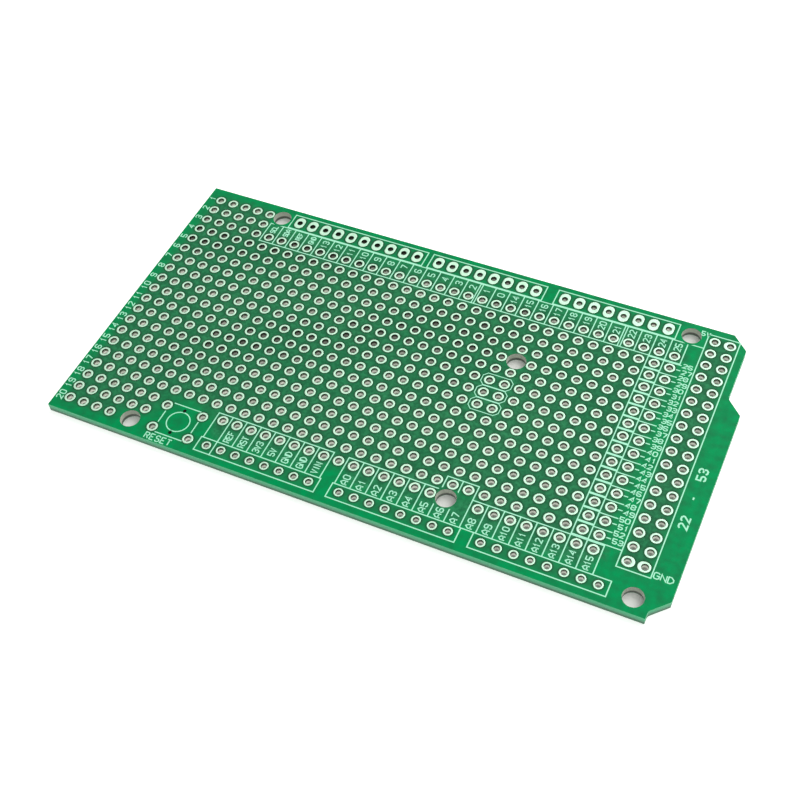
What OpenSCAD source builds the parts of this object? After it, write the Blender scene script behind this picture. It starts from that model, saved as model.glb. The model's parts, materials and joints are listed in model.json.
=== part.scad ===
// Bare prototyping circuit board: a drilled glass-epoxy sheet with tinned plated holes,
// green solder mask on both faces and a white printed legend on the upper face.
// Places are given as [column, row] on the drilling grid, counted from the lower left corner.

/* [Board] */
// Spacing of the drilling grid
pitch = 2.54; // [2.5:0.01:2.6]
// Grid steps along the board's length
grid_cols = 40; // [40:1:44]
// Grid steps across the board's width
grid_rows = 21; // [21:1:24]
// Radius that the router leaves in the two inner corners of the right edge
router_r = 1.0; // [0.3:0.1:1.2]

/* [Layers] */
// Thickness of the glass-epoxy sheet
core_t = 1.5; // [0.8:0.1:2.4]
// Thickness of the solder mask on each face
mask_t = 0.05; // [0.02:0.01:0.08]
// How far the tinned pads stand above the upper mask
tin_rise = 0.02; // [0.01:0.01:0.05]
// Thickness of the printed legend
ink_t = 0.02; // [0.01:0.01:0.05]

/* [Holes and pads] */
// Radius of a mounting hole
mount_r = 1.6; // [1.5:0.05:1.65]
// Radius kept free of tin around a mounting hole
trim_r = 1.85; // [1.8:0.01:1.9]
// Radius of a grid pad
pad_r = 0.88; // [0.8:0.01:0.9]
// Radius of a finished hole in a grid pad
hole_r = 0.56; // [0.4:0.01:0.6]
// Radius of a pad in the lower header rows
small_pad_r = 0.74; // [0.65:0.01:0.8]
// Radius of a finished hole in the lower header rows
small_hole_r = 0.48; // [0.35:0.01:0.5]
// Length across the board of an oblong pad in the upper header row
long_pad_l = 2.5; // [2.0:0.1:2.5]
// Radius of a finished hole in an oblong pad
long_hole_r = 0.5; // [0.4:0.01:0.55]
// How far the double row's end pads reach towards their neighbours beyond round
end_reach = 0.2; // [0.1:0.05:0.35]
// Wall thickness of the plating inside a hole
plating_t = 0.03; // [0.02:0.01:0.05]
// Gap between a pad and the edge of its opening in the mask
mask_gap = 0.03; // [0.02:0.01:0.05]
// Radius of a locating hole under the push button
peg_r = 0.3; // [0.2:0.05:0.35]

/* [Legend] */
// Width of a printed line
ink_w = 0.18; // [0.1:0.01:0.25]
// Width of the finer lines round the programming pads
fine_ink_w = 0.13; // [0.1:0.01:0.15]
// Radius kept free of print around a mounting hole
ink_clear_r = 2.0; // [1.9:0.05:2.2]
// Radius of the printed ring for the push button
ring_r = 1.87; // [1.7:0.01:2.0]

/* [Hidden] */
$fn = 48;
board_l = grid_cols * pitch;
board_w = grid_rows * pitch;
core_z = mask_t;
top_mask_z = core_z + core_t;
ink_z = top_mask_z + mask_t;
tin_top = ink_z + tin_rise;
long_reach = long_pad_l / 2 - pad_r;
past = 1;      // how far a cutter runs past a face
arc_steps = 6; // straight steps in each inner corner of the outline

// Mounting holes
mounts = [[5.5, 1], [6, 20], [26, 3], [26, 14], [35.5, 20], [38, 1]];

// Footprint of a 6 mm push button: pads at its corners, locating holes between them
button_c = [8.4, 1.88];
button_mark_c = button_c + [0.06, 0]; // middle of its printed outline
button_dx = 3.25 / pitch;
button_dy = 2.25 / pitch;
button_pad_places = [for (i = [-1, 1], j = [-1, 1]) button_c + [i * button_dx, j * button_dy]];
peg_places = [for (j = [-1, 1]) button_c + [0, j * button_dy]];

// Plated hole places, group by group
function row_of(r, c0, c1) = [for (c = [c0:c1]) [c, r]];
function block_of(c0, c1, r0, r1) = [for (r = [r0:r1], c = [c0:c1]) [c, r]];
function has(list, p) = len([for (q = list) if (q == p) 1]) > 0;
function without(list, cut) = [for (p = list) if (!has(cut, p)) p];

program_places = block_of(25, 26, 10, 12);
analog_out_a_places = concat(row_of(3, 20, 25), row_of(4, 26, 27));
grid_left_places = concat(block_of(1, 17, 4, 17), block_of(1, 6, 2, 3), row_of(1, 1, 4),
    block_of(1, 5, 18, 20));
grid_right_places = concat(
    without(block_of(18, 33, 4, 17), concat(program_places, analog_out_a_places, [[26, 14]])),
    [[19, 3]]);
side_out_places = block_of(34, 35, 4, 17);
digital_out_places = row_of(18, 6, 35);
power_out_places = row_of(3, 11, 18);
analog_out_b_places = row_of(3, 28, 35);
// End pads of the double row, each with its reach to the right and to the left
end_pads = [[[37, 3], end_reach, 0], [[38, 3], 0, end_reach], [[38, 20], 0, end_reach]];
end_places = [for (e = end_pads) e[0]];
double_row_places = without(block_of(37, 38, 3, 20), end_places);
digital_low_places = [for (k = [0:9]) [7.4 + k, 20]];
digital_mid_places = row_of(20, 18, 25);
digital_high_places = row_of(20, 27, 34);
power_places = row_of(1, 11, 18);
analog_a_places = row_of(1, 20, 27);
analog_b_places = row_of(1, 29, 36);

round_places = concat(grid_left_places, grid_right_places, program_places, side_out_places,
    digital_out_places, power_out_places, analog_out_a_places, analog_out_b_places,
    double_row_places, button_pad_places);
long_places = concat(digital_low_places, digital_mid_places, digital_high_places);
small_places = concat(power_places, analog_a_places, analog_b_places);

// Legend layout, in grid steps
header_side = 0.6;       // from an end pin to its header's printed frame
double_gap = 0.084;      // half the spacing of a doubled divider
cell_low = 17.5;         // lower and upper line of the upper label cells
cell_high = 19.27;
long_frame_low = 19.345; // printed frames of the upper headers
long_frame_high = 20.62;
small_frame_low = 0.45;  // printed frames of the lower headers
small_frame_high = 1.47;
label_high = 3.45;       // upper line of the lower label cells
side_low = 3.525;        // line under the side pins' boxes
side_box = 0.465;        // half height of a side pin's box
side_lead = 0.42;        // height of its long lead above the pad
program_box = 0.48;      // half height of an octagon round two programming pads
program_cut = 0.25;      // how far its corners are cut

// Legend of the push button, in millimetres
button_side = 6;
button_bar = 4.9;
button_tick = 2.3;
peg_clear = 0.1;

// Grid place to millimetres, with the middle of the board at the origin
function at(p) = [p[0] * pitch - board_l / 2, p[1] * pitch - board_w / 2];

module spots(places) {
    for (p = places) translate(at(p)) children();
}

// ---------- outline and openings, in the plane ----------

// Arc that the router leaves in the inner corner v, where the edge turns by 45 degrees.
// Its centre is above the corner if side is 1 and below it if side is -1.
function inner_arc(v, side, from, to) = [for (k = [0:arc_steps])
    let (turn = from + (to - from) * k / arc_steps)
    v + router_r * [1 + cos(turn), side * tan(45 / 2) + sin(turn)]];

// Board outline with the notched right edge, counter-clockwise from the lower left corner
module outline() {
    polygon(concat(
        [at([0, 0]), at([grid_cols - 1, 0])],
        inner_arc(at([grid_cols - 1, 0.5]), -1, 180, 135),
        [at([grid_cols, 1.5]), at([grid_cols, grid_rows - 6])],
        inner_arc(at([grid_cols - 1, grid_rows - 5]), 1, 225, 180),
        [at([grid_cols - 1, grid_rows - 1]), at([grid_cols - 2, grid_rows]), at([0, grid_rows])]));
}

// A circle that reaches further down by low and further up by high
module stadium(r, low, high) {
    union() {
        for (y = [-low, high]) translate([0, y]) circle(r);
        translate([-r, -low]) square([2 * r, low + high]);
    }
}

// Holes drilled through the sheet, before plating
module drillings() {
    spots(concat(round_places, end_places)) circle(hole_r + plating_t);
    spots(long_places) circle(long_hole_r + plating_t);
    spots(small_places) circle(small_hole_r + plating_t);
    spots(mounts) circle(mount_r);
    spots(peg_places) circle(peg_r);
}

// Openings in a solder mask: pads, kept back from the mounting holes
module mask_openings() {
    difference() {
        union() {
            spots(round_places) circle(pad_r + mask_gap);
            spots(small_places) circle(small_pad_r + mask_gap);
            spots(long_places) stadium(pad_r + mask_gap, long_reach, long_reach);
            for (e = end_pads) translate(at(e[0])) rotate(90) stadium(pad_r + mask_gap, e[1], e[2]);
        }
        spots(mounts) circle(trim_r);
    }
    spots(mounts) circle(mount_r);
    spots(peg_places) circle(peg_r);
}

// ---------- sheets ----------

module laminate() {
    color("#b9c39a") translate([0, 0, core_z]) linear_extrude(core_t) difference() {
        outline();
        drillings();
    }
}

module mask_sheet() {
    color("#1f7a4a") linear_extrude(mask_t) difference() {
        outline();
        mask_openings();
    }
}

module solder_mask_top() {
    translate([0, 0, top_mask_z]) mask_sheet();
}

module solder_mask_bottom() {
    mask_sheet();
}

// ---------- plated holes ----------

// A plated hole turned in one piece: barrel in the sheet and a ring on each face
module eyelet(ring_r, bore_r) {
    rotate_extrude() polygon([[bore_r, 0], [ring_r, 0], [ring_r, core_z],
        [bore_r + plating_t, core_z], [bore_r + plating_t, top_mask_z],
        [ring_r, top_mask_z], [ring_r, tin_top], [bore_r, tin_top]]);
}

// A plated hole with a stadium-shaped pad on each face
module long_eyelet(low, high, bore_r) {
    difference() {
        union() {
            linear_extrude(core_z) stadium(pad_r, low, high);
            translate([0, 0, core_z]) cylinder(r = bore_r + plating_t, h = core_t);
            translate([0, 0, top_mask_z]) linear_extrude(tin_top - top_mask_z)
                stadium(pad_r, low, high);
        }
        translate([0, 0, -past]) cylinder(r = bore_r, h = tin_top + 2 * past);
    }
}

function mount_gap(p) = min([for (m = mounts) norm(p - m) * pitch]);

// A group of round plated holes; those beside a mounting hole are cut back from it
module eyelets(places, ring_r, bore_r) {
    color("#dfe3e0") {
        spots([for (p = places) if (mount_gap(p) >= ring_r + trim_r) p]) eyelet(ring_r, bore_r);
        for (p = places) if (mount_gap(p) < ring_r + trim_r) difference() {
            translate(at(p)) eyelet(ring_r, bore_r);
            spots([for (m = mounts) if (norm(p - m) * pitch < ring_r + trim_r) m])
                translate([0, 0, -past]) cylinder(r = trim_r, h = tin_top + 2 * past);
        }
    }
}

module long_eyelets(places) {
    color("#dfe3e0") spots(places) long_eyelet(long_reach, long_reach, long_hole_r);
}

module grid_pads_left() { eyelets(grid_left_places, pad_r, hole_r); }
module grid_pads_right() { eyelets(grid_right_places, pad_r, hole_r); }
module digital_header_pads_low() { long_eyelets(digital_low_places); }
module digital_header_pads_mid() { long_eyelets(digital_mid_places); }
module digital_header_pads_high() { long_eyelets(digital_high_places); }
module digital_breakout_pads() { eyelets(digital_out_places, pad_r, hole_r); }
module power_header_pads() { eyelets(power_places, small_pad_r, small_hole_r); }
module power_breakout_pads() { eyelets(power_out_places, pad_r, hole_r); }
module analog_header_pads_a() { eyelets(analog_a_places, small_pad_r, small_hole_r); }
module analog_header_pads_b() { eyelets(analog_b_places, small_pad_r, small_hole_r); }
module analog_breakout_pads_a() { eyelets(analog_out_a_places, pad_r, hole_r); }
module analog_breakout_pads_b() { eyelets(analog_out_b_places, pad_r, hole_r); }
module side_breakout_pads() { eyelets(side_out_places, pad_r, hole_r); }
module programming_pads() { eyelets(program_places, pad_r, hole_r); }
module button_pads() { eyelets(button_pad_places, pad_r, hole_r); }
module double_row_header_pads() {
    eyelets(double_row_places, pad_r, hole_r);
    color("#dfe3e0") for (e = end_pads)
        translate(at(e[0])) rotate(90) long_eyelet(e[1], e[2], hole_r);
}

// ---------- printed legend ----------

module line(a, b, w = ink_w) {
    d = at(b) - at(a);
    translate(at(a)) rotate(atan2(d[1], d[0])) translate([-w / 2, -w / 2])
        square([norm(d) + w, w]);
}

module frame(c0, r0, c1, r1) {
    line([c0, r0], [c1, r0]);
    line([c0, r1], [c1, r1]);
    line([c0, r0], [c0, r1]);
    line([c1, r0], [c1, r1]);
}

// Raises plane shapes to the legend's thickness, kept back from the mounting holes
module printed() {
    color("#e9fbf0") translate([0, 0, ink_z]) linear_extrude(ink_t) difference() {
        union() { children(); }
        spots(mounts) circle(ink_clear_r);
    }
}

module legend_digital() {
    printed() {
        for (ends = [[7.4, 16.4], [18, 25], [27, 34]])
            frame(ends[0] - header_side, long_frame_low, ends[1] + header_side, long_frame_high);
        line([5.5, cell_low], [35.5, cell_low]);
        line([5.5, cell_high], [36.5 - ink_w / pitch, cell_high]);
        for (x = [5.5:35.5]) if (x != 21.5 && x != 31.5) line([x, cell_low], [x, cell_high]);
        for (x = [21.5, 31.5], s = [-double_gap, double_gap])
            line([x + s, cell_low], [x + s, cell_high]);
    }
}

module legend_power() {
    printed() {
        frame(11 - header_side, small_frame_low, 18 + header_side, small_frame_high);
        line([10.5, label_high], [18.5, label_high]);
        for (x = [10.5:18.5]) line([x, small_frame_high], [x, label_high]);
        line([11.5, small_frame_low], [11.5, small_frame_high]);
    }
}

module legend_analog() {
    printed() {
        frame(20 - header_side, small_frame_low, 27 + header_side, small_frame_high);
        frame(29 - header_side, small_frame_low, 36 + header_side, small_frame_high);
        line([27.5, small_frame_high], [28.5, small_frame_high]);
        line([19.5, label_high], [25.5, label_high]);
        line([27.5, label_high], [35.5, label_high]);
        for (x = [19.5:35.5]) {
            high = x >= 25.5 && x <= 27.5 ? label_high + 1 : label_high;
            line([x, small_frame_high], [x, high]);
        }
        line([25.5, label_high + 1], [27.5, label_high + 1]);
    }
}

module legend_double_row() {
    printed() frame(36.5, 2.46, 38.5, 20.5);
}

// Boxes of the side pads, with leads. The last row's box stops below the upper cells' line.
module legend_side() {
    printed() {
        for (r = [4:17]) {
            top = min(r + side_box, cell_low - ink_w / pitch);
            frame(33.5, r - side_box, 34.5, top);
            line([34.5, r + side_lead], [35.6, r + side_lead]);
            line([35.45, r], [35.65, r]);
        }
        line([33.5, side_low], [36.5 - ink_w / pitch, side_low]);
    }
}

// A stretched octagon from x0 to x1 round the pads of row r
module octagon(x0, x1, r) {
    for (s = [-1, 1]) {
        flat = r + s * program_box;
        corner = r + s * (program_box - program_cut);
        line([x0 + program_cut, flat], [x1 - program_cut, flat], fine_ink_w);
        line([x0, corner], [x0 + program_cut, flat], fine_ink_w);
        line([x1, corner], [x1 - program_cut, flat], fine_ink_w);
    }
    side = program_box - program_cut;
    for (x = [x0, x1]) line([x, r - side], [x, r + side], fine_ink_w);
}

module legend_programming() {
    printed() for (r = [10:12]) octagon(24.5, 26.5, r);
}

// Outline of the push button: a ring for its cap, two long bars and two short ticks
module legend_button() {
    printed() translate(at(button_mark_c)) {
        difference() {
            circle(ring_r + ink_w / 2);
            circle(ring_r - ink_w / 2);
            for (p = peg_places) translate((p - button_mark_c) * pitch) circle(peg_r + peg_clear);
        }
        for (s = [-1, 1]) {
            translate([0, s * button_side / 2]) square([button_bar, ink_w], center = true);
            translate([s * button_side / 2, 0]) square([ink_w, button_tick], center = true);
        }
    }
}

laminate();
solder_mask_top();
solder_mask_bottom();
grid_pads_left();
grid_pads_right();
digital_header_pads_low();
digital_header_pads_mid();
digital_header_pads_high();
digital_breakout_pads();
power_header_pads();
power_breakout_pads();
analog_header_pads_a();
analog_header_pads_b();
analog_breakout_pads_a();
analog_breakout_pads_b();
double_row_header_pads();
side_breakout_pads();
programming_pads();
button_pads();
legend_digital();
legend_power();
legend_analog();
legend_double_row();
legend_side();
legend_programming();
legend_button();
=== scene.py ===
# %% [markdown]
# # A bare prototyping circuit board
# This notebook dresses a drilled circuit board: a sheet of glass-epoxy, green solder mask on
# both faces, tinned plated holes and a white printed legend.
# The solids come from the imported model. They fix every size and place, and the meshes made
# here are finer copies of them with real edges, so that light runs round a pad's rim.
# Everything is in metres. +X runs along the board, +Y across it and +Z out of the printed face.

# %% Load the solids
import json
import math

import bpy
import numpy as np
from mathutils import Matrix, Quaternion, Vector
from mathutils.geometry import delaunay_2d_cdt


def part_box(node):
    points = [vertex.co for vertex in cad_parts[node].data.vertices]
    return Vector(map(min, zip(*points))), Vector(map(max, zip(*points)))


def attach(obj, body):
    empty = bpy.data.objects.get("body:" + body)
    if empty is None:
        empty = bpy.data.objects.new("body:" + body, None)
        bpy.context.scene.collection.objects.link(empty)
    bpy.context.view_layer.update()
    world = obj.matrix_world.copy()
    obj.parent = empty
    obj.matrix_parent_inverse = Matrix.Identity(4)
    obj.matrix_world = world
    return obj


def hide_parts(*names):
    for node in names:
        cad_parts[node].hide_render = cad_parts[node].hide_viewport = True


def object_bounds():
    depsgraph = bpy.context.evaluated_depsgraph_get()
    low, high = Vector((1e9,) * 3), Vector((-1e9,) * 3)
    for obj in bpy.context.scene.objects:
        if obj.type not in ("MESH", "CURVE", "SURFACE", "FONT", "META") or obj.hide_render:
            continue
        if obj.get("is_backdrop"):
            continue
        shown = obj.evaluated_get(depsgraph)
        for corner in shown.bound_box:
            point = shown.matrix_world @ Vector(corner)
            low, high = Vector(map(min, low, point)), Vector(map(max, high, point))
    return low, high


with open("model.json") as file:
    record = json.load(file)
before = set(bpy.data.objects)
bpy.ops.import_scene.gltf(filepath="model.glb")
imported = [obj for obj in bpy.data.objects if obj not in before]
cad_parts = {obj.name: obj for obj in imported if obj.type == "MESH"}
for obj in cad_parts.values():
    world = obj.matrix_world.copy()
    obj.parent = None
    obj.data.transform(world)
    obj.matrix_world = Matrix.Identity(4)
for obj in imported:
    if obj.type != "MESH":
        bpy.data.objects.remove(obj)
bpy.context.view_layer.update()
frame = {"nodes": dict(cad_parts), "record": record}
MM = 0.001

# %% [markdown]
# ## Sizes
# A board is laid out on a grid of holes 2.54 mm apart. The length of the sheet is a whole
# number of grid steps, so the step is worked out from the sheet instead of being typed in.
# Heights come from the boxes of the sheet and of its two coats.

# %% Sizes from the solids
COLUMNS, ROWS = 40, 21
board_low, board_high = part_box("laminate")
STEP = (board_high.x - board_low.x) / COLUMNS
CORE_LOW, CORE_HIGH = board_low.z, board_high.z
MASK_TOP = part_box("solder_mask_top")[1].z
TIN_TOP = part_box("grid_pads_left")[1].z
INK = TIN_TOP - MASK_TOP


def at(column, row):
    """A place on the drilling grid, counted from the lower left corner, in metres."""
    return np.array([board_low.x + column * STEP, board_low.y + row * STEP])


print("grid step in mm:", round(STEP / MM, 3), "tin stands at", round(TIN_TOP / MM, 3))

# %% [markdown]
# ## Where the holes are
# There are more than six hundred plated holes, and every one has its solid. Typing their
# places again would invite mistakes, so they are read from the solids' meshes. The pads of a
# group never touch, so the corner points at the top face fall into clear columns and then
# into clear pads. The points within a third of a pad's width from its middle are on its bore.
# Fitting a circle to them gives its centre, also where a pad is longer to one side or cut back.


# %% Read the pads of a group
def split_by_gaps(values, gap):
    """Index groups of sorted values, cut wherever the next one is more than gap away."""
    order = np.argsort(values)
    cuts = np.flatnonzero(np.diff(values[order]) > gap) + 1
    return np.split(order, cuts)


def fit_circle(points):
    """Centre and radius of the circle through points in the plane."""
    known = np.column_stack([2 * points, np.ones(len(points))])
    x, y, rest = np.linalg.lstsq(known, (points ** 2).sum(1), rcond=None)[0]
    return np.array([x, y]), math.sqrt(rest + x * x + y * y)


def read_pads(node):
    """Each pad's centre, bore radius, ring radius and its reach beyond round to either side."""
    points = np.array([v.co for v in frame["nodes"][node].data.vertices])
    points = points[points[:, 2] > TIN_TOP - INK / 2][:, :2]
    gap = 0.3 * MM
    pads = []
    for column in split_by_gaps(points[:, 0], gap):
        for spot in split_by_gaps(points[column, 1], gap):
            pad = points[column][spot]
            middle = (pad.min(0) + pad.max(0)) / 2
            size = pad.max(0) - pad.min(0)
            near = np.linalg.norm(pad - middle, axis=1) < 0.33 * size.min()
            centre, bore = fit_circle(pad[near])
            low, high = centre - pad.min(0), pad.max(0) - centre
            ring = np.maximum(low, high).min()
            pads.append((centre, bore, ring, np.maximum([low - ring, high - ring], 0)))
    return pads


PAD_NODES = [name for name in frame["nodes"] if name.endswith("_pads") or "_pads_" in name]
PADS = {name: read_pads(name) for name in PAD_NODES}
print("pad groups:", len(PADS), "plated holes:", sum(len(pads) for pads in PADS.values()))

# %% [markdown]
# The mounting holes are in the record as pairs: a middle, a spacing and a radius. The button
# has two small locating holes, half way between its pads from left to right.

# %% Mounting holes and locating holes
MOUNTS = []
for mount in frame["record"]["mounts"]:
    if mount["kind"] == "bolt_pattern":
        spacing = np.array([mount["dims"].get(f"spacing_{axis}_mm", 0) for axis in "xy"])
        for side in (-1, 1):
            MOUNTS.append(np.array(mount["pos_m"][:2]) + side * spacing / 2 * MM)
        MOUNT_R = mount["dims"]["hole_r_mm"] * MM
PEG_R = 0.3 * MM

button = np.array([pad[0] for pad in PADS["button_pads"]])
BUTTON = button.mean(0)
PEGS = [np.array([BUTTON[0], y]) for y in (button[:, 1].min(), button[:, 1].max())]
print("mounting holes:", len(MOUNTS), "locating holes:", len(PEGS))

# %% [markdown]
# ## Node helpers
# A material is a graph of shader nodes. It could be wired by hand in the shader editor, but
# written out it can be read and changed in one place. These helpers add a node, set its
# sockets and link it, so that each finish below reads as a short list of what the real
# surface does.


# %% Nodes, sockets and links
def new_finish(name):
    """An empty material with one Principled shader. Returns the material and its shader."""
    finish = bpy.data.materials.new(name)
    finish.use_nodes = True
    return finish, finish.node_tree.nodes["Principled BSDF"]


def node(finish, kind, **settings):
    """Adds a shader node. Settings that name a socket set it, and the others set the node."""
    made = finish.node_tree.nodes.new(kind)
    for key, value in settings.items():
        if hasattr(made, key):
            setattr(made, key, value)
        else:
            made.inputs[key.replace("_", " ")].default_value = value
    return made


def link(finish, source, target):
    finish.node_tree.links.new(source, target)


print("materials in the file before the first finish:", len(bpy.data.materials))

# %% [markdown]
# Patterns are read at a point's own coordinates on the object, in metres, so that they have a
# true size and stay where they are when the view changes. The next helpers make a pattern,
# map it to a range, blend two colours by it, or turn it into small bumps.


# %% Patterns, colours and bumps
def place(finish):
    """Coordinates that stay with the object, in metres."""
    return node(finish, "ShaderNodeTexCoord").outputs["Object"]


def noise(finish, size, detail=2.0):
    """A noise pattern whose blobs are about size metres across, from 0 to 1."""
    made = node(finish, "ShaderNodeTexNoise", Scale=1 / size, Detail=detail)
    link(finish, place(finish), made.inputs["Vector"])
    return made.outputs["Fac"]


def spread(finish, source, low, high, start=0.3, end=0.7):
    """Maps source from start..end to low..high."""
    made = node(finish, "ShaderNodeMapRange")
    made.inputs["From Min"].default_value = start
    made.inputs["From Max"].default_value = end
    made.inputs["To Min"].default_value = low
    made.inputs["To Max"].default_value = high
    link(finish, source, made.inputs["Value"])
    return made.outputs["Result"]


def blend_colours(finish, factor, first, second):
    """Mixes two colours, each a value or a socket. The factor is a socket or a number."""
    made = node(finish, "ShaderNodeMix", data_type="RGBA")
    sockets = [made.inputs[number] for number in (0, 6, 7)]
    for socket, given in zip(sockets, (factor, first, second)):
        if isinstance(given, bpy.types.NodeSocket):
            link(finish, given, socket)
        elif isinstance(given, (int, float)):
            socket.default_value = given
        else:
            socket.default_value = (*given, 1)
    return made.outputs[2]


def point_value(finish, name):
    """A number that each point of the mesh carries under this name."""
    return node(finish, "ShaderNodeAttribute", attribute_name=name).outputs["Fac"]


def height(finish, source, depth):
    """Normals of a surface that source raises by up to depth metres."""
    made = node(finish, "ShaderNodeBump", Strength=1.0, Distance=depth)
    link(finish, source, made.inputs["Height"])
    return made.outputs["Normal"]


def along(finish, axis):
    """The object's X, Y or Z coordinate."""
    split = node(finish, "ShaderNodeSeparateXYZ")
    link(finish, place(finish), split.inputs["Vector"])
    return split.outputs[axis]


def math_of(finish, kind, first, second=None):
    """One math step on sockets or numbers."""
    made = node(finish, "ShaderNodeMath", operation=kind)
    for socket, given in zip(made.inputs, (first, second)):
        if isinstance(given, bpy.types.NodeSocket):
            link(finish, given, socket)
        elif given is not None:
            socket.default_value = given
    return made.outputs[0]


print("the scale of a noise with blobs of 0.5 mm:", round(1 / (0.5 * MM)))

# %% [markdown]
# ## Solder mask
# Solder mask is a thin lacquer, cured over the sheet. It looks greyer where pads crowd
# together than in the open, and a little clearer at the notched end. Shade is painted on it,
# darkest just round a pad and in the narrow gaps between pads. The sheet's mesh carries both as
# point values named crowd and rim, which are read here. The crowded green drifts a little from
# place to place, small clouds lie over all of it, a fine grain shows in it, and a ripple breaks up
# the shine.

# %% Solder mask finish
OPEN_GREENS = (0.0, 0.308, 0.090), (0.0, 0.318, 0.096)
CROWDED_GREENS = (0.025, 0.262, 0.102), (0.041, 0.290, 0.117)
CLOUD_GREEN = (0.012, 0.140, 0.056)
GRAIN_GREEN = (0.010, 0.110, 0.044)
RIM_SHADE_GREEN = (0.018, 0.068, 0.034)

mask_green, mask = new_finish("solder_mask_green")
crowd = point_value(mask_green, "crowd")
notched = spread(mask_green, along(mask_green, "X"), 0, 1, 25 * MM, 48 * MM)
bare_tone = blend_colours(mask_green, notched, *OPEN_GREENS)
drift = spread(mask_green, noise(mask_green, 14 * MM, 1.0), 0, 1)
crowded = blend_colours(mask_green, drift, *CROWDED_GREENS)
tone = blend_colours(mask_green, crowd, bare_tone, crowded)
cloudy = spread(mask_green, noise(mask_green, 1.5 * MM, 4.0), 0, 0.6, 0.35, 0.75)
tone = blend_colours(mask_green, cloudy, tone, CLOUD_GREEN)
grain = spread(mask_green, noise(mask_green, 0.45 * MM), 0, 0.55, 0.4, 0.62)
grain = math_of(mask_green, "MULTIPLY", grain, crowd)
tone = blend_colours(mask_green, grain, tone, GRAIN_GREEN)
# Painted shade: the mask is darkened round each pad and in the narrow gaps between pads.
shade = math_of(mask_green, "MULTIPLY", point_value(mask_green, "rim"), 0.85)
tone = blend_colours(mask_green, shade, tone, RIM_SHADE_GREEN)
link(mask_green, tone, mask.inputs["Base Color"])
gloss = spread(mask_green, noise(mask_green, 1.2 * MM), 0.22, 0.34)
link(mask_green, gloss, mask.inputs["Roughness"])
mask.inputs["Specular IOR Level"].default_value = 0.03
link(mask_green, height(mask_green, noise(mask_green, 0.7 * MM), 0.006 * MM), mask.inputs["Normal"])
print("made", mask_green.name)

# %% [markdown]
# ## Tin
# The pads are copper with a skin of molten tin that was blown level. It is bright and slightly
# soft, never a mirror. Down in the bore the skin is thin and dull, so the colour there turns
# to a warm grey. The bore is the part of the mesh between the two faces, so the height along
# Z tells the two apart. Light and shade are painted down the bore: it is painted darkest at both
# ends and palest half way down, as if light reached in from both ends, and how pale changes a
# little from pad to pad. Some bores are painted much darker than the rest, partly as painted
# shade. The pads' meshes carry this as a point value, which the cell of the pads works out.

# %% Tin finish
SKIN_TONES = (0.57, 0.83, 0.64), (0.48, 0.73, 0.55)
BORE_TONES = (0.95, 0.95, 0.85), (0.72, 0.76, 0.65)
BORE_END_SHADE = (0.105, 0.135, 0.095)
DARKER_BORE_TONE = (0.060, 0.065, 0.045)
PALEST_Z, PALE_REACH = 0.92 * MM, 0.48 * MM

tin_bright, tin = new_finish("levelled_tin")
z = along(tin_bright, "Z")
middle_z = (CORE_LOW + CORE_HIGH) / 2
from_middle = math_of(tin_bright, "ABSOLUTE", math_of(tin_bright, "SUBTRACT", z, middle_z))
half_pad = TIN_TOP - middle_z
in_bore = spread(tin_bright, from_middle, 1, 0, half_pad - 0.04 * MM, half_pad - 0.015 * MM)
# Painted light and shade in the bore: painted shade near both ends, painted light half way down.
from_pale = math_of(tin_bright, "ABSOLUTE", math_of(tin_bright, "SUBTRACT", z, PALEST_Z))
painted_light_middle = spread(tin_bright, from_pale, 1, 0, 0, PALE_REACH)
by_place = spread(tin_bright, noise(tin_bright, 0.8 * MM), 0, 1)
skin = blend_colours(tin_bright, by_place, *SKIN_TONES)
by_pad = spread(tin_bright, noise(tin_bright, 4 * MM), 0, 1, 0.4, 0.6)
dull = blend_colours(tin_bright, painted_light_middle, BORE_END_SHADE, blend_colours(tin_bright, by_pad, *BORE_TONES))
# Darker bores: painted shade in the upper headers, and darker bands in the grid.
dull = blend_colours(tin_bright, point_value(tin_bright, "darker_bore"), dull, DARKER_BORE_TONE)
link(tin_bright, blend_colours(tin_bright, in_bore, skin, dull), tin.inputs["Base Color"])
link(tin_bright, spread(tin_bright, in_bore, 0.6, 0.8, 0, 1), tin.inputs["Metallic"])
matt = spread(tin_bright, noise(tin_bright, 0.5 * MM), 0.48, 0.60)
smoother = spread(tin_bright, in_bore, 0, 0.22, 0, 1)
link(tin_bright, math_of(tin_bright, "SUBTRACT", matt, smoother), tin.inputs["Roughness"])
link(tin_bright, height(tin_bright, noise(tin_bright, 0.35 * MM), 0.008 * MM), tin.inputs["Normal"])
print("made", tin_bright.name)

# %% [markdown]
# ## Glass-epoxy
# The sheet shows only at its routed edge and on the walls of the mounting holes. It is made of
# layers of woven glass, so the edge has fine level streaks, and the router leaves upright
# ripples. The edge is painted pale at the top and dark below: painted light from above and
# painted shade low down. The drilled walls are chalky and darker in a band low down, and the
# walls of the two narrow locating holes are painted nearly black as painted shade.

# %% Glass-epoxy finish
EDGE_SHADE_LOW, EDGE_LIT_HIGH = (0.03, 0.08, 0.045, 1), (0.07, 0.60, 0.27, 1)
EDGE_BETWEEN = ((0.26, (0.035, 0.10, 0.055, 1)), (0.42, (0.09, 0.36, 0.20, 1)))
EDGE_STREAK = (0.10, 0.38, 0.21)
CHALK_TONES = (0.50, 0.54, 0.45), (0.34, 0.39, 0.31)
LOW_WALL_DARK = (0.05, 0.06, 0.045)
PEG_SHADE = (0.01, 0.03, 0.012)

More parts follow.
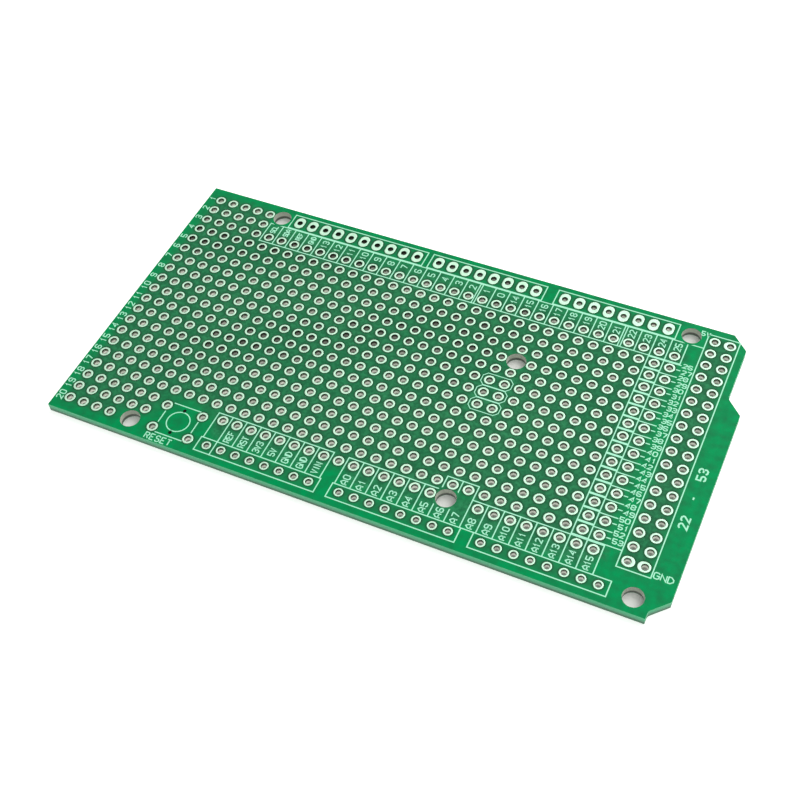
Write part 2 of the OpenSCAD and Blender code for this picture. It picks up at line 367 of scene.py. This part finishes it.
epoxy_pale, epoxy = new_finish("glass_epoxy")
share_up = spread(epoxy_pale, along(epoxy_pale, "Z"), 0, 1, CORE_LOW, CORE_HIGH)
tall = node(epoxy_pale, "ShaderNodeMapping")
tall.inputs["Scale"].default_value = (1, 1, 18)
link(epoxy_pale, place(epoxy_pale), tall.inputs["Vector"])
layers = node(epoxy_pale, "ShaderNodeTexNoise", Scale=1 / (1.6 * MM), Detail=3.0)
link(epoxy_pale, tall.outputs["Vector"], layers.inputs["Vector"])
# Painted light and shade: the edge's colour by height is pale at the top and dark below.
body = node(epoxy_pale, "ShaderNodeValToRGB")
link(epoxy_pale, share_up, body.inputs["Fac"])
stops = body.color_ramp.elements
stops[0].color, stops[1].color = EDGE_SHADE_LOW, EDGE_LIT_HIGH
for share, colour in EDGE_BETWEEN:
    stops.new(share).color = colour
streaks = spread(epoxy_pale, layers.outputs["Fac"], 0, 0.5)
edge = blend_colours(epoxy_pale, streaks, body.outputs["Color"], EDGE_STREAK)
chalky = blend_colours(epoxy_pale, streaks, *CHALK_TONES)
# The drilled walls are darker in a band low down.
above_dark_band = spread(epoxy_pale, share_up, 0, 1, 0.28, 0.40)
wall = blend_colours(epoxy_pale, above_dark_band, LOW_WALL_DARK, chalky)
tone = blend_colours(epoxy_pale, point_value(epoxy_pale, "bored"), edge, wall)
# Painted shade: the walls of the narrow locating holes are painted nearly black.
tone = blend_colours(epoxy_pale, point_value(epoxy_pale, "small"), tone, PEG_SHADE)
link(epoxy_pale, tone, epoxy.inputs["Base Color"])
epoxy.inputs["Roughness"].default_value = 0.62
link(epoxy_pale, height(epoxy_pale, layers.outputs["Fac"], 0.02 * MM), epoxy.inputs["Normal"])
print("made", epoxy_pale.name)

# %% [markdown]
# ## Legend ink
# The legend is screen-printed. The ink is nearly white and matt, with a breath of the green
# below where it is thin.

# %% Ink finish
INK_TONES = (0.43, 0.94, 0.66), (0.30, 0.76, 0.50)

ink_white, ink = new_finish("legend_ink")
thin = spread(ink_white, noise(ink_white, 0.25 * MM), 0, 0.5, 0.45, 0.75)
link(ink_white, blend_colours(ink_white, thin, *INK_TONES), ink.inputs["Base Color"])
ink.inputs["Roughness"].default_value = 0.6
link(ink_white, height(ink_white, noise(ink_white, 0.12 * MM), 0.004 * MM), ink.inputs["Normal"])
print("made", ink_white.name)

# %% [markdown]
# ## Putting a piece on the board
# Every mesh made here rides on the board's one body, takes its finish and, where it is a
# finer copy, hides the solid that it stands for.


# %% Finish a piece
def make_piece(name, verts, faces, finish, replaced=()):
    mesh = bpy.data.meshes.new(name)
    mesh.from_pydata([tuple(v) for v in verts], [], [tuple(f) for f in faces])
    mesh.validate()
    mesh.materials.append(finish)
    piece = bpy.data.objects.new(name, mesh)
    bpy.context.scene.collection.objects.link(piece)
    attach(piece, "root")
    if replaced:
        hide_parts(*replaced)
    return piece


# %% [markdown]
# ## The plane shapes
# The outline and every opening are closed loops of points in the plane. The right edge of the
# board is notched: it steps in at both ends, and the router leaves its own radius in the two
# inner corners.

# %% Loops in the plane
ROUTER_R = 1.0 * MM
ARC_POINTS = 7


def circle(centre, radius, sides):
    turn = 2 * np.pi * np.arange(sides) / sides
    return centre + radius * np.stack([np.cos(turn), np.sin(turn)], axis=1)


def stretched(centre, radius, reach, sides):
    """A circle whose points move out by reach[0] below its centre and by reach[1] above it."""
    loop = circle(np.zeros(2), radius, sides)
    # Rounded, so that a point on an axis counts as neither above nor below it.
    side = np.round(loop, 9)
    return centre + loop + (side > 0) * reach[1] - (side < 0) * reach[0]


def inner_corner(column, row, side):
    """The router's arc in an inner corner, where the edge turns by 45 degrees."""
    middle = at(column, row) + ROUTER_R * np.array([1, side * math.tan(math.radians(22.5))])
    turns = np.radians(np.linspace(180, 180 + side * 45, ARC_POINTS))
    if side > 0:
        turns = turns[::-1]
    return [middle + ROUTER_R * np.array([math.cos(turn), math.sin(turn)]) for turn in turns]


def outline():
    """The board's edge, counter-clockwise from the lower left corner."""
    right = COLUMNS - 1
    corners = [at(0, 0), at(right, 0)]
    corners += inner_corner(right, 0.5, -1)
    corners += [at(COLUMNS, 1.5), at(COLUMNS, ROWS - 6)]
    corners += inner_corner(right, ROWS - 5, 1)
    corners += [at(right, ROWS - 1), at(right - 1, ROWS), at(0, ROWS)]
    return np.array(corners)


print("outline corners:", len(outline()))

# %% [markdown]
# ## Filling a sheet
# A sheet with hundreds of openings is awkward for modelling by hand, and a boolean for each
# hole is slow and leaves long thin faces. A constrained Delaunay triangulation takes all the
# loops at once and fills only between them. Extra points that lie in the sheet, such as a
# ring round each pad, are taken in too, and carry the point values that the mask's finish
# reads. The filled face is then copied to the other side, and walls close each loop.

# %% Make a flat sheet
INSIDE_WITH_HOLES = 2
SAME_POINT = 1e-9


def sheet(name, loops, low, high, finish, replaced, extra=(), values=None):
    """A sheet from low to high with the first loop as its edge and the others as openings."""
    points = np.concatenate([*loops, *extra])
    ends = np.cumsum([len(loop) for loop in loops])
    rings = [list(range(end - len(loop), end)) for loop, end in zip(loops, ends)]
    filled = delaunay_2d_cdt([Vector(p) for p in points], [], rings, INSIDE_WITH_HOLES, SAME_POINT)
    flat, triangles, origin = filled[0], filled[2], filled[3]
    count = len(flat)
    source = [members[0] for members in origin]
    where = {old: new for new, members in enumerate(origin) for old in members}
    verts = [(p.x, p.y, high) for p in flat] + [(p.x, p.y, low) for p in flat]
    faces = [tuple(t) for t in triangles]
    faces += [tuple(i + count for i in reversed(t)) for t in triangles]
    for number, ring in enumerate(rings):
        ring = [where[i] for i in ring]
        if number:
            ring = ring[::-1]
        for a, b in zip(ring, ring[1:] + ring[:1]):
            faces.append((a, a + count, b + count, b))
    piece = make_piece(name, verts, faces, finish, replaced)
    for key, given in (values or {}).items():
        column = piece.data.attributes.new(key, "FLOAT", "POINT")
        column.data.foreach_set("value", [given[i] for i in source] * 2)
    return piece


print("points closer than", SAME_POINT / MM, "mm count as one")

# %% [markdown]
# ## Openings in the mask
# The mask stops a hair outside each pad. Beside a mounting hole the pad is cut back, so that
# a screw head stays clear of the tin, and the opening follows the same cut: points that fall
# inside the clear circle are pushed out to its edge.

# %% Keep shapes clear of the mounting holes
TRIM_R = MOUNT_R + 0.12 * MM


def keep_clear(loop, radius):
    """Moves the points of a loop that are inside a mounting hole's clear circle to its edge."""
    loop = loop.copy()
    for hole in MOUNTS:
        away = loop - hole
        distance = np.linalg.norm(away, axis=1, keepdims=True)
        loop = np.where(distance < radius, hole + away * radius / distance, loop)
    return loop


print("tin keeps", round((TRIM_R - MOUNT_R) / MM, 2), "mm off the mounting holes")

# %% [markdown]
# The openings are polygons. Their numbers of sides are chosen by size: a mounting hole is big
# enough to show its corners, and a locating hole is hardly seen.

# %% Loops round the pads and the holes
RING_SIDES, MOUNT_SIDES, SMALL_SIDES = 24, 64, 16
MASK_GAP = 0.03 * MM
RIM_WIDTH = 0.33 * MM
CUT_GAP = 0.02 * MM
all_pads = [pad for pads in PADS.values() for pad in pads]


def pad_loops(grow):
    """A loop round every pad, outside it by grow."""
    clear = TRIM_R - min(grow, CUT_GAP)
    return [keep_clear(stretched(centre, ring + grow, reach, RING_SIDES), clear)
            for centre, bore, ring, reach in all_pads]


mount_loops = [circle(hole, MOUNT_R, MOUNT_SIDES) for hole in MOUNTS]
peg_loops = [circle(peg, PEG_R, SMALL_SIDES) for peg in PEGS]
print("openings in the mask:", len(all_pads) + len(mount_loops) + len(peg_loops))

# %% [markdown]
# Each point of the mask gets two values. Crowd says how thickly pads stand around it: it adds
# up a share from every pad that fades with the distance, and is 1 inside the grid and 0 in
# the open. Rim is how much painted shade the mask gets: it adds up the same way but fades from
# each pad's edge within a fifth of a millimetre, so it is 1 at an opening and stays high in the
# narrow waist between two pads.

# %% Point values of the mask
CROWD_REACH = 2 * MM
RIM_FADE = 0.22 * MM
LONE_PAD = 0.85


def around(points):
    """For each point, how near it is to pads' edges and how thickly pads stand around it."""
    edge = np.zeros(len(points))
    share = np.zeros(len(points))
    for centre, bore, ring, (low, high) in all_pads:
        off = points - centre
        share += np.exp(-(off ** 2).sum(1) / CROWD_REACH ** 2)
        gap = np.hypot(*(off - np.clip(off, -low, high)).T) - ring
        edge += np.exp(-np.maximum(gap - MASK_GAP, 0) / RIM_FADE)
    return np.clip(edge, 0, 1), np.clip(share - LONE_PAD, 0, 1)


def on_sheet(column, row):
    """Whether a grid place lies inside the notched outline, with some room to spare."""
    if column < COLUMNS - 1:
        return column + row < COLUMNS + ROWS - 2.2
    return 2 <= row <= ROWS - 6


print("a pad's own share is 1, of which", LONE_PAD, "doesn't count as crowding")

# %% [markdown]
# A value lives on a point and is blended across each face. Where the mask has no pads its
# faces would be long and the values would smear, so points on a half-step lattice are added
# wherever the rim value is low.

# %% Lattice points in the open places
HOLE_ROOM = 0.3 * MM
OPEN_RIM = 0.3
halves = [(c / 2, r / 2) for c in range(1, 2 * COLUMNS) for r in range(1, 2 * ROWS)]
lattice = np.array([at(c, r) for c, r in halves if on_sheet(c, r)])
free = around(lattice)[0] < OPEN_RIM
for hole, radius in [(hole, MOUNT_R) for hole in MOUNTS] + [(peg, PEG_R) for peg in PEGS]:
    free &= np.linalg.norm(lattice - hole, axis=1) > radius + HOLE_ROOM
lattice = lattice[free]
print("lattice points:", len(lattice))

# %% [markdown]
# Both coats are the same sheet at two heights. The mask is as dull inside the printed cells
# as between crowded pads, so the points in the cells are lifted to that crowding. A cell row
# is given as its left, right, low and high edge, in grid steps.

# %% Both coats of mask
CELL_CROWDING = 0.9
CELLS = ((5.5, 35.5, 17.5, 19.27), (10.5, 18.5, 1.55, 3.47), (19.5, 35.5, 1.55, 3.47))
openings = [outline(), *pad_loops(MASK_GAP), *mount_loops, *peg_loops]
extra = [*pad_loops(MASK_GAP + RIM_WIDTH), lattice]
points = np.concatenate([*openings, *extra])
rim_shades, crowding = around(points)
for left, right, low, high in CELLS:
    inside = ((points > at(left, low)) & (points < at(right, high))).all(1)
    crowding[inside] = np.maximum(crowding[inside], CELL_CROWDING)
mask_values = {"crowd": crowding, "rim": rim_shades}
for side, low, high in (("top", CORE_HIGH, MASK_TOP), ("bottom", 0.0, CORE_LOW)):
    coat = sheet(f"mask_{side}", openings, low, high, mask_green,
                 [f"solder_mask_{side}"], extra, mask_values)
    print(coat.name, "faces:", len(coat.data.polygons))

# %% [markdown]
# ## The glass-epoxy sheet
# The sheet between the coats has the same edge and holes, but it is drilled to the pads'
# barrels. Its points carry two values of 0 or 1: bored is 1 on the walls of the holes that
# have no plating, and small is 1 on those of the two locating holes.

# %% The sheet
PLATING = 0.03 * MM
drillings = [circle(centre, bore + PLATING, SMALL_SIDES) for centre, bore, ring, reach in all_pads]
plated = len(outline()) + SMALL_SIDES * len(all_pads)
counts = (plated, MOUNT_SIDES * len(MOUNTS), SMALL_SIDES * len(PEGS))
core_values = {
    "bored": np.repeat([0.0, 1.0, 1.0], counts),
    "small": np.repeat([0.0, 0.0, 1.0], counts),
}
core = sheet("glass_epoxy_sheet", [outline(), *drillings, *mount_loops, *peg_loops],
             CORE_LOW, CORE_HIGH, epoxy_pale, ["laminate"], (), core_values)
print(core.name, "faces:", len(core.data.polygons))

# %% [markdown]
# ## Plated holes
# A plated hole is a body of revolution: a barrel with a ring on each face. Molten tin draws
# itself into a low dome, so the rings are rounded over at both edges. Half of the section is
# written down and mirrored to the other face, where one point of the rim's rounding is left
# out to keep the big groups light, and all of it is turned round the axis. A pad that is
# longer than it is wide has the same section, with its outer points drawn apart.

# %% The section of a plated hole
RING_STARTS = 0.06 * MM


def section(bore, ring):
    """Points (radius, height) of the upper half, from the ring's foot to the barrel."""
    top = TIN_TOP
    return [(ring, CORE_HIGH), (ring, top - 0.022 * MM), (ring - 0.020 * MM, top - 0.006 * MM),
            (ring - 0.08 * MM, top), (bore + 0.05 * MM, top - 0.001 * MM),
            (bore + 0.012 * MM, top - 0.010 * MM), (bore, top - 0.040 * MM)]


def plated_hole(centre, bore, ring, reach):
    """Points and faces of one plated hole."""
    upper = section(bore, ring)
    lower = [(radius, TIN_TOP - z) for radius, z in (*upper[:2:-1], upper[1])]
    lower.append((ring, CORE_LOW))
    profile = upper + lower + [(bore + PLATING, CORE_LOW), (bore + PLATING, CORE_HIGH)]
    layers = []
    for radius, z in profile:
        on_ring = radius > bore + RING_STARTS
        loop = stretched(centre, radius, reach if on_ring else 0 * reach, RING_SIDES)
        loop = keep_clear(loop, TRIM_R) if on_ring else loop
        layers.append(np.column_stack([loop, np.full(RING_SIDES, z)]))
    verts = np.concatenate(layers)
    faces = []
    for layer in range(len(profile)):
        here, there = layer * RING_SIDES, (layer + 1) % len(profile) * RING_SIDES
        for side in range(RING_SIDES):
            after = (side + 1) % RING_SIDES
            faces.append((here + side, here + after, there + after, there + side))
    return verts, np.array(faces)


sample = PADS["grid_pads_left"][0]
print("points in one plated hole:", len(plated_hole(*sample)[0]))

# %% [markdown]
# Some bores are painted darker than the rest. The upper headers' bores go from nearly black at
# the left to bright at the right, which is painted shade. In the grid the bores are a little
# darker towards the right, and the darkest lie in two slanting bands, one of which widens right
# of the middle. A band is given as its height at the left edge, its slope, its breadth, and its
# first and last column, all in grid steps.

# %% How dark the bores are
DARK_BORE_BANDS = ((4.7, 0.50, 2.4, 3, 28.5), (16.2, 0.18, 1.6, -3, 17), (14.5, 0, 3.9, 17.5, 28))
BAND_FADE = 4
BAND_DARKENING, GRID_DARKENING = 0.85, 0.22


def ramp(column, start, end):
    """From 0 at the start column to 1 at the end column."""
    return np.clip((column - start) / (end - start), 0, 1)


def slanting_band(column, row, start, slope, breadth, first, last):
    """How near a place is to a band that climbs across the grid, from 0 to 1."""
    near = np.exp(-((row - start - slope * column) / breadth) ** 2)
    return near * ramp(column, first, first + BAND_FADE) * ramp(column, last, last - BAND_FADE)


def soot_at(node_name, column, row):
    """How dark the bores of a group are at each place, from 0 to 1."""
    # The upper headers' bores are darkened as painted shade, most at the left.
    if node_name.startswith("digital_header"):
        return ramp(column, 34, 16)
    bands = np.max([slanting_band(column, row, *shape) for shape in DARK_BORE_BANDS], axis=0)
    return np.maximum(BAND_DARKENING * bands, GRID_DARKENING * ramp(column, 4, 24))


across = np.arange(0, COLUMNS, 8)
print("darkening half way up the grid:", np.round(soot_at("grid", across, ROWS / 2), 2))


# %% Make the pads of a group
def pad_group(node_name):
    """All plated holes of a group as one smooth piece."""
    verts, faces, start = [], [], 0
    for pad in PADS[node_name]:
        points, sides = plated_hole(*pad)
        verts.append(points)
        faces.append(sides + start)
        start += len(points)
    verts = np.concatenate(verts)
    faces = np.concatenate(faces).tolist()
    name = "tinned_" + node_name
    piece = make_piece(name, verts, faces, tin_bright, [node_name])
    piece.data.shade_smooth()
    column, row = ((verts[:, axis] - board_low[axis]) / STEP for axis in (0, 1))
    # How much darker each bore is painted, partly as painted shade.
    darker_bore = piece.data.attributes.new("darker_bore", "FLOAT", "POINT")
    darker_bore.data.foreach_set("value", soot_at(node_name, column, row))
    return piece


for name in PADS:
    group = pad_group(name)
    print(group.name, "faces:", len(group.data.polygons))

# %% [markdown]
# ## Printed lines
# The frames and cells of the legend keep their solids, because flat lines need nothing finer.
# Only their finish is set.

# %% Ink on the printed lines
for name, solid in frame["nodes"].items():
    if name.startswith("legend_"):
        solid.data.materials.clear()
        solid.data.materials.append(ink_white)
print("printed areas:", sum(name.startswith("legend_") for name in frame["nodes"]))

# %% [markdown]
# ## Lettering
# Board lettering is drawn with a pen of one width, like a plotter's, so each character is a
# few straight strokes. A character sits on a field 4 wide and 6 high, and each two-digit
# group below is one point of a stroke: across, then up. Only plain pin numbers and signal
# names are printed.

# %% Strokes of the characters
STROKES = {
    "0": ["10 30 41 45 36 16 05 01 10"],
    "1": ["14 26 20"],
    "2": ["05 16 36 45 44 00 40"],
    "3": ["05 16 36 45 44 33 13", "33 42 41 30 10 01"],
    "4": ["30 36 02 42"],
    "5": ["46 06 03 33 42 41 30 10 01"],
    "6": ["45 36 16 05 01 10 30 41 42 33 13 02"],
    "7": ["06 46 45 20"],
    "8": ["13 04 05 16 36 45 44 33 13 02 01 10 30 41 42 33"],
    "9": ["44 33 13 04 05 16 36 45 41 30 10 01"],
    "A": ["00 04 26 44 40", "02 42"],
    "C": ["45 36 16 05 01 10 30 41"],
    "D": ["00 06 26 44 42 20 00"],
    "E": ["46 06 00 40", "03 33"],
    "F": ["46 06 00", "03 33"],
    "G": ["45 36 16 05 01 10 30 41 43 23"],
    "I": ["20 26"],
    "L": ["06 00 40"],
    "N": ["00 06 40 46"],
    "R": ["00 06 36 45 44 33 03", "23 40"],
    "S": ["45 36 16 05 04 13 33 42 41 30 10 01"],
    "T": ["20 26", "06 46"],
    "V": ["06 20 46"],
    "-": ["13 33"],
}
print("characters:", len(STROKES))

# %% [markdown]
# Each stroke becomes a low bar of ink as wide as the pen. A curve with a bevel would do it,
# but it thins out in sharp corners, such as those of N and V, so the bar is made point by
# point: at a corner its two sides move out along the mitre, up to a limit that keeps the tips
# short. The bar is a little narrower at its top than at its foot.

# %% Turn a stroke into a bar of ink
PEN = 0.19 * MM
BOLD_PEN = 0.27 * MM
SHARPEST_MITRE = 0.45
FOOT_SHARE, TOP_SHARE = 0.5, 0.42


def pen_stroke(path, pen):
    """Points and faces of one bar of ink along a path, mitred at its corners."""
    path = np.array(path)
    closed = np.allclose(path[0], path[-1])
    if closed:
        path = path[:-1]
    steps = np.roll(path, -1, axis=0) - path
    ahead = np.stack([-steps[:, 1], steps[:, 0]], axis=1) / np.linalg.norm(steps, axis=1)[:, None]
    behind = np.roll(ahead, 1, axis=0)
    if not closed:
        ahead[-1], behind[0] = behind[-1], ahead[0]
    mitre = ahead + behind
    mitre /= np.linalg.norm(mitre, axis=1)[:, None]
    mitre /= np.maximum((mitre * ahead).sum(1), SHARPEST_MITRE)[:, None]
    foot, top = FOOT_SHARE * pen, TOP_SHARE * pen
    rails = ((-foot, MASK_TOP), (foot, MASK_TOP), (top, TIN_TOP), (-top, TIN_TOP))
    verts = [(*(p + m * offset), z) for p, m in zip(path, mitre) for offset, z in rails]
    count = len(path)
    faces = []
    for spot in range(count if closed else count - 1):
        here, there = 4 * spot, 4 * ((spot + 1) % count)
        for rail, after in ((0, 1), (1, 2), (2, 3), (3, 0)):
            faces.append((here + rail, here + after, there + after, there + rail))
    if not closed:
        last = 4 * (count - 1)
        faces += [(3, 2, 1, 0), (last, last + 1, last + 2, last + 3)]
    return verts, faces


print("pen width in mm:", round(PEN / MM, 2))

# %% [markdown]
# A word is given as its text, its place on the grid, the height and turn of its letters, and
# then each letter's width and the gap after it, both as shares of the height. All words of an
# area are one piece of ink.


# %% Write words on the board
def word_strokes(text, column, row, tall, turn=0, wide=0.62, pen_gap=0.30):
    """Strokes of a word centred on a grid place. tall is its height in grid steps."""
    size = tall * STEP
    advance = size * (wide + pen_gap)
    angle = math.radians(turn)
    across = np.array([math.cos(angle), math.sin(angle)])
    up = np.array([-math.sin(angle), math.cos(angle)])
    start = -(len(text) * advance - size * pen_gap) / 2
    strokes = []
    for letter in text:
        for stroke in STROKES.get(letter, []):
            pairs = [(int(p[0]) / 4 * wide, int(p[1]) / 6 - 0.5) for p in stroke.split()]
            strokes.append([at(column, row) + across * (start + x * size) + up * y * size
                            for x, y in pairs])
        start += advance
    return strokes


def print_words(name, words, pen=PEN):
    """One piece of ink from words given as (text, column, row, tall, turn, wide, pen_gap)."""
    verts, faces = [], []
    for word in words:
        for path in word_strokes(*word):
            points, sides = pen_stroke(path, pen)
            faces += [tuple(i + len(verts) for i in face) for face in sides]
            verts += points
    return make_piece(name, verts, faces, ink_white)


print("strokes in the word GND:", len(word_strokes("GND", 0, 0, 1)))

# %% [markdown]
# ## The words
# The cells of the upper row are numbered down to 0 and then on from 14, after four names of
# signals. A longer text is smaller and narrower, so that it fits its cell, so each number of
# letters has its own row, height, turn, width and gap. The lower cells name the supply pins
# and the analog inputs, and the first of them is bare.

# %% Words of the upper cells
pins = (*range(13, -1, -1), *range(14, 26))
upper = ["SCL", "SDA", "REF", "GND", *(str(pin) for pin in pins)]
shapes = {1: (18.81, 0.44, 90), 2: (18.76, 0.41, 90, 0.62, 0.24), 3: (18.8, 0.34, 90, 0.52, 0.18)}
words = [(text, 6 + k, *shapes[len(text)]) for k, text in enumerate(upper)]
print_words("numbers_digital", words)
print("upper cells:", len(words))

# %% Words of the lower cells
power = ["", "REF", "RST", "3V3", "5V", "GND", "GND", "VIN"]
words = [(text, 11 + k, 2.05, 0.41, 90, 0.53, 0.16) for k, text in enumerate(power)]
words += [(f"A{n}", 20 + n, 1.94, 0.42, 90) for n in range(10)]
words += [(f"A{n}", 20 + n, 2.06, 0.38, 90, 0.62, 0.2) for n in range(10, 16)]
print_words("names_power_and_analog", words)
print("lower cells:", len(words))

# %% [markdown]
# The double row of pads has a number beside each pad, two to a grid step. The grid's own rows
# are numbered at the left edge. The long range at the right edge is written with a bolder pen.

# %% Numbers beside the double row
words = []
for row in range(4, 18):
    pin = 26 + 2 * (17 - row)
    words.append((str(pin), 36.02, row + 0.44, 0.31, 0, 0.8, 0.28))
    words.append((str(pin + 1), 36.1, row - 0.07, 0.31, 0, 0.8, 0.28))
print_words("numbers_double_row", words)
print("side numbers:", len(words))

# %% Row numbers and single words
words = [(str(n), 0.34, ROWS - n, 0.42, 90) for n in range(1, 21)]
words += [("GND", 39.16, 2.73, 0.39, 0, 0.78, 0.25), ("RESET", 7.95, 0.30, 0.42, 0),
          ("5V", 36.3, 20.45, 0.34, 0)]
print_words("numbers_and_marks", words)
print_words("pin_range", [("22  -  53", 39.15, 8.3, 0.5, 90, 0.66, 0.34)], BOLD_PEN)
print("row numbers and words:", len(words) + 1)

# %% [markdown]
# ## Floor
# The board lies on a white table, which shows as plain white to the camera and to shiny
# surfaces. Round the board a glow lifts the table to white, and further out, where the lamps
# don't reach, it takes over, so that the table runs into the backdrop without an edge. Seen
# through the mounting holes the table has no glow, so it looks shaded there. The tin of the
# bores still mirrors it as white.

# %% Floor
FLOOR_HALF = 2.0
FLOOR_Z = -0.02 * MM
GLOW_STARTS = {"X": 47.6 * MM, "Y": 25.9 * MM}

quarters = ((-1, -1), (1, -1), (1, 1), (-1, 1))
corners = [(x * FLOOR_HALF, y * FLOOR_HALF, FLOOR_Z) for x, y in quarters]
floor_mesh = bpy.data.meshes.new("floor")
floor_mesh.from_pydata(corners, [], [(0, 1, 2, 3)])
floor = bpy.data.objects.new("floor", floor_mesh)
bpy.context.scene.collection.objects.link(floor)
table_white, paper = new_finish("table_white")
paper.inputs["Base Color"].default_value = (0.93, 0.94, 0.91, 1)
paper.inputs["Roughness"].default_value = 0.9
paper.inputs["Specular IOR Level"].default_value = 0.1
rays = node(table_white, "ShaderNodeLightPath")
glow = node(table_white, "ShaderNodeEmission", Strength=1.0)
join = node(table_white, "ShaderNodeAddShader")
away = node(table_white, "ShaderNodeVectorMath", operation="LENGTH")
link(table_white, place(table_white), away.inputs[0])
fade = spread(table_white, away.outputs["Value"], 0.5, 1.0, 0.12, 0.6)
covered = []
for axis, limit in GLOW_STARTS.items():
    size = math_of(table_white, "ABSOLUTE", along(table_white, axis))
    covered.append(spread(table_white, size, 0, 1, limit, limit + 0.5 * MM))
outside = math_of(table_white, "MAXIMUM", *covered)
seen = math_of(table_white, "MULTIPLY", rays.outputs["Is Camera Ray"], outside)
seen = math_of(table_white, "MULTIPLY", seen, fade)
seen = math_of(table_white, "ADD", seen, rays.outputs["Is Glossy Ray"])
seen = math_of(table_white, "ADD", seen, rays.outputs["Is Transmission Ray"])
link(table_white, seen, glow.inputs["Strength"])
link(table_white, paper.outputs["BSDF"], join.inputs[0])
link(table_white, glow.outputs["Emission"], join.inputs[1])
surface = table_white.node_tree.nodes["Material Output"].inputs["Surface"]
link(table_white, join.outputs["Shader"], surface)
floor_mesh.materials.append(table_white)
floor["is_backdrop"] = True
print("floor at", round(floor_mesh.vertices[0].co.z / MM, 3), "mm")

# %% [markdown]
# ## World and lamps
# The world is white to the camera and to shiny surfaces, but lights the board at less than
# half of that, so that its colours come out as they are written. A large soft key lamp behind
# the board and a weaker fill in front of it do the rest.

# %% World and lamps
WORLD_LEVEL = 0.45

scene = bpy.context.scene
scene.view_settings.view_transform = "Standard"
world = bpy.data.worlds.new("studio")
scene.world = world
world.use_nodes = True
sky = world.node_tree.nodes["Background"]
sky.inputs["Color"].default_value = (1, 1, 1, 1)
level = node(world, "ShaderNodeMapRange")
level.inputs["To Min"].default_value = WORLD_LEVEL
level.inputs["To Max"].default_value = 1.0
rays = node(world, "ShaderNodeLightPath")
seen = math_of(world, "ADD", rays.outputs["Is Camera Ray"], rays.outputs["Is Glossy Ray"])
seen = math_of(world, "ADD", seen, rays.outputs["Is Transmission Ray"])
link(world, seen, level.inputs["Value"])
link(world, level.outputs["Result"], sky.inputs["Strength"])


def soft_lamp(name, position, size, power):
    """A square lamp that looks at the middle of the board."""
    data = bpy.data.lights.new(name, "AREA")
    data.size = size
    data.energy = power
    lamp = bpy.data.objects.new(name, data)
    lamp.location = position
    lamp.rotation_euler = (-Vector(position)).to_track_quat("-Z", "Y").to_euler()
    scene.collection.objects.link(lamp)


soft_lamp("key", (0.21, 0.36, 0.42), 0.50, 2.5)
soft_lamp("fill", (0.25, -0.25, 0.50), 0.60, 0.8)

# %% [markdown]
# ## Camera
# The camera looks down at the board from the front right through a fairly long lens, with a
# small roll and a small sideways shift. The quaternion that turns its -Z axis to the board
# keeps it upright, and the roll is a second turn about that axis.

# %% Camera
EYE = Vector((0.06113, -0.10621, 0.15356))
TARGET = Vector((0.00561, -0.00332, 0.0016))
ROLL = math.radians(-5.24)

lens = bpy.data.cameras.new("camera")
lens.lens = 55.18
lens.sensor_width = 36
lens.shift_x = -0.0375
camera = bpy.data.objects.new("camera", lens)
camera.location = EYE
look = TARGET - EYE
camera.rotation_mode = "QUATERNION"
camera.rotation_quaternion = look.to_track_quat("-Z", "Y") @ Quaternion((0, 0, 1), ROLL)
scene.collection.objects.link(camera)
scene.camera = camera
print("camera is", round(look.length / MM), "mm from the board")

# %% [markdown]
# ## Sizes and finish
# The dressed board has to be as big as the solids. The last line prints the size of what is
# shown.

# %% Finish
low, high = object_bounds()
print("visual size in mm:", [round(v / MM, 2) for v in high - low])
